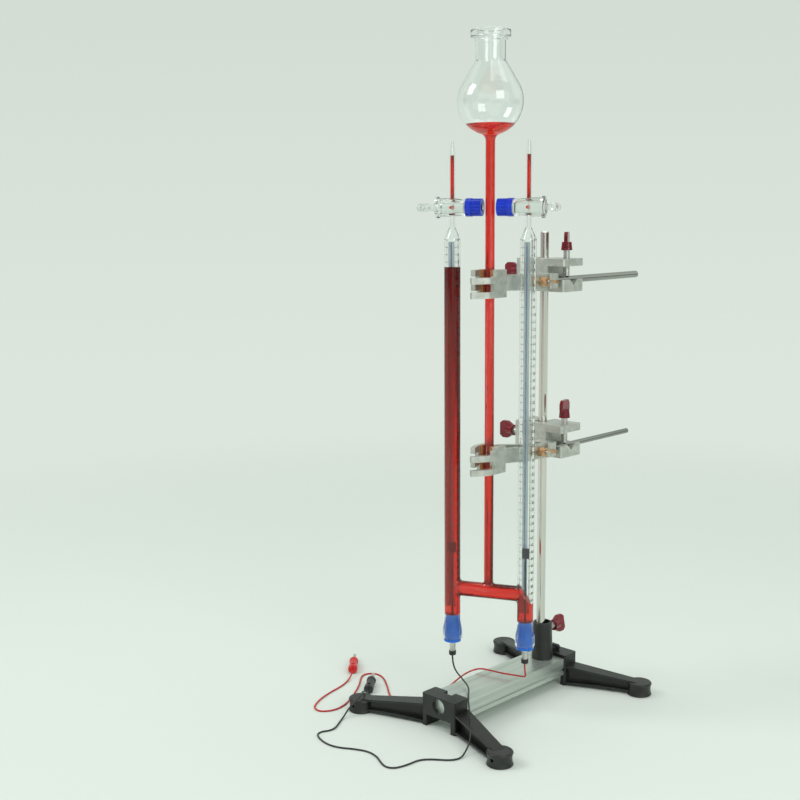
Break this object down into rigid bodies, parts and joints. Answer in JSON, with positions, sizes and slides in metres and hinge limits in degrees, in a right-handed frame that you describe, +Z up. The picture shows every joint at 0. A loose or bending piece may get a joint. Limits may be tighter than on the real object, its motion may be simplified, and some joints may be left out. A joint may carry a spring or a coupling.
{
  "type": "hofmann voltameter",
  "caption": "Glass H-shaped electrolysis apparatus with reservoir, stopcocks and electrodes, clamped to a rod on a small rail stand, with two leads.",
  "frame": {"origin": "middle of the stand's and clamps' footprint on the table, leads left out", "axes": "+Z up; the base rail and the clamp stems run along Y, with the glass in front of the rod, towards -Y; +X to the right seen from the front"},
  "size_m": [0.3354, 0.423, 0.74],
  "materials": {
    "clear_glass": "clear, polished",
    "red_liquid": "clear red indicator solution",
    "blue_plastic": "moulded, glossy",
    "white_plastic": "moulded",
    "dark_red_plastic": "translucent, glossy",
    "black_paint": "satin black enamel on cast iron",
    "aluminium_bar": "brushed, clear anodised",
    "cast_grey": "shot-blasted zinc and aluminium casting",
    "polished_rod": "polished",
    "steel": "turned",
    "brass_nut": "cast, worn",
    "cork": "pressed cork",
    "platinum": "thin dark foil",
    "black_plastic": "moulded",
    "red_plastic": "moulded",
    "black_lead": "soft insulation",
    "red_lead": "soft insulation"
  },
  "bodies": {
    "stand": {"base_rail": "aluminium_bar", "front_bracket": "black_paint", "rear_bracket": "black_paint", "rod_holder": "black_paint", "stand_rod": "polished_rod", "glass_body": "clear_glass", "indicator_liquid": "red_liquid", "left_electrode_plug": "blue_plastic", "left_electrode_rod": "steel", "left_electrode_plate": "platinum", "left_contact_sleeve": "steel", "left_lead_collar": "black_plastic", "right_electrode_plug": "blue_plastic", "right_electrode_rod": "steel", "right_electrode_plate": "platinum", "right_contact_sleeve": "steel", "right_lead_collar": "black_plastic", "black_lead": "black_lead", "black_banana_handle": "black_plastic", "black_banana_pin": "steel", "red_lead": "red_lead", "red_banana_handle": "red_plastic", "red_banana_pin": "steel"},
    "left_key": {"left_stopcock_key": "clear_glass", "left_key_washer": "white_plastic", "left_key_nut": "blue_plastic"},
    "right_key": {"right_stopcock_key": "clear_glass", "right_key_washer": "white_plastic", "right_key_nut": "blue_plastic"},
    "upper_clamp": {"upper_boss_head": "cast_grey", "upper_clamp_stem": "polished_rod", "upper_fixed_arm": "cast_grey", "upper_fixed_cork": "cork", "upper_pivot_pin": "steel"},
    "upper_stem_screw": {"upper_stem_screw_knob": "dark_red_plastic", "upper_stem_screw_stud": "steel"},
    "upper_rod_screw": {"upper_rod_screw_knob": "dark_red_plastic", "upper_rod_screw_stud": "steel"},
    "upper_jaw": {"upper_moving_arm": "cast_grey", "upper_moving_cork": "cork"},
    "upper_jaw_bolt": {"upper_jaw_screw": "steel"},
    "upper_nut": {"upper_wing_nut": "brass_nut"},
    "lower_clamp": {"lower_boss_head": "cast_grey", "lower_clamp_stem": "polished_rod", "lower_fixed_arm": "cast_grey", "lower_fixed_cork": "cork", "lower_pivot_pin": "steel"},
    "lower_stem_screw": {"lower_stem_screw_knob": "dark_red_plastic", "lower_stem_screw_stud": "steel"},
    "lower_rod_screw": {"lower_rod_screw_knob": "dark_red_plastic", "lower_rod_screw_stud": "steel"},
    "lower_jaw": {"lower_moving_arm": "cast_grey", "lower_moving_cork": "cork"},
    "lower_jaw_bolt": {"lower_jaw_screw": "steel"},
    "lower_nut": {"lower_wing_nut": "brass_nut"},
    "holder_screw": {"holder_screw_knob": "dark_red_plastic", "holder_screw_stud": "steel"},
    "thumb_screw": {"bracket_thumb_screw": "black_plastic"}
  },
  "joints": [
    {"name": "left_stopcock_turn", "type": "hinge", "parent": "stand", "child": "left_key", "pos_m": [-0.03035, -0.08425, 0.559], "axis": [-0.91, -0.4147, 0], "continuous": true},
    {"name": "right_stopcock_turn", "type": "hinge", "parent": "stand", "child": "right_key", "pos_m": [0.04535, -0.04975, 0.559], "axis": [0.91, 0.4147, 0], "continuous": true},
    {"name": "upper_clamp_slide", "type": "slide", "parent": "stand", "child": "upper_clamp", "axis": [0, 0, 1], "range_m": [-0.05, 0.025]},
    {"name": "upper_stem_screw_turn", "type": "hinge", "parent": "upper_clamp", "child": "upper_stem_screw", "pos_m": [0.0305, 0.037, 0.5115], "axis": [0, 0, 1], "continuous": true},
    {"name": "upper_rod_screw_turn", "type": "hinge", "parent": "upper_clamp", "child": "upper_rod_screw", "pos_m": [-0.0355, 0.037, 0.4863], "axis": [-1, 0, 0], "continuous": true},
    {"name": "upper_jaw_open", "type": "hinge", "parent": "upper_clamp", "child": "upper_jaw", "pos_m": [0.0205, 0.007, 0.47913], "axis": [0, 0, -1], "range_deg": [0, 7]},
    {"name": "upper_jaw_bolt_slide", "type": "slide", "parent": "upper_clamp", "child": "upper_jaw_bolt", "axis": [-1, 0, 0], "range_m": [0, 0.0021]},
    {"name": "upper_wing_nut_turn", "type": "hinge", "parent": "upper_clamp", "child": "upper_nut", "pos_m": [0.036, -0.01, 0.47913], "axis": [1, 0, 0], "continuous": true},
    {"name": "lower_clamp_slide", "type": "slide", "parent": "stand", "child": "lower_clamp", "axis": [0, 0, 1], "range_m": [-0.09, 0.05]},
    {"name": "lower_stem_screw_turn", "type": "hinge", "parent": "lower_clamp", "child": "lower_stem_screw", "pos_m": [0.0305, 0.037, 0.3242], "axis": [0, 0, 1], "continuous": true},
    {"name": "lower_rod_screw_turn", "type": "hinge", "parent": "lower_clamp", "child": "lower_rod_screw", "pos_m": [-0.0416, 0.037, 0.301], "axis": [-1, 0, 0], "continuous": true},
    {"name": "lower_jaw_open", "type": "hinge", "parent": "lower_clamp", "child": "lower_jaw", "pos_m": [0.0205, 0.007, 0.29241], "axis": [0, 0, -1], "range_deg": [0, 7]},
    {"name": "lower_jaw_bolt_slide", "type": "slide", "parent": "lower_clamp", "child": "lower_jaw_bolt", "axis": [-1, 0, 0], "range_m": [0, 0.0021]},
    {"name": "lower_wing_nut_turn", "type": "hinge", "parent": "lower_clamp", "child": "lower_nut", "pos_m": [0.036, -0.01, 0.29241], "axis": [1, 0, 0], "continuous": true},
    {"name": "holder_screw_turn", "type": "hinge", "parent": "stand", "child": "holder_screw", "pos_m": [0, 0.061, 0.067], "axis": [0, 1, 0], "continuous": true},
    {"name": "thumb_screw_turn", "type": "hinge", "parent": "stand", "child": "thumb_screw", "pos_m": [0, 0.0645, 0.0367], "axis": [0, 0, 1], "continuous": true}
  ],
  "couplings": [
    {"joint": "upper_jaw_bolt_slide", "follows": "upper_jaw_open", "m_per_rad": 0.017},
    {"joint": "lower_jaw_bolt_slide", "follows": "lower_jaw_open", "m_per_rad": 0.017}
  ]
}
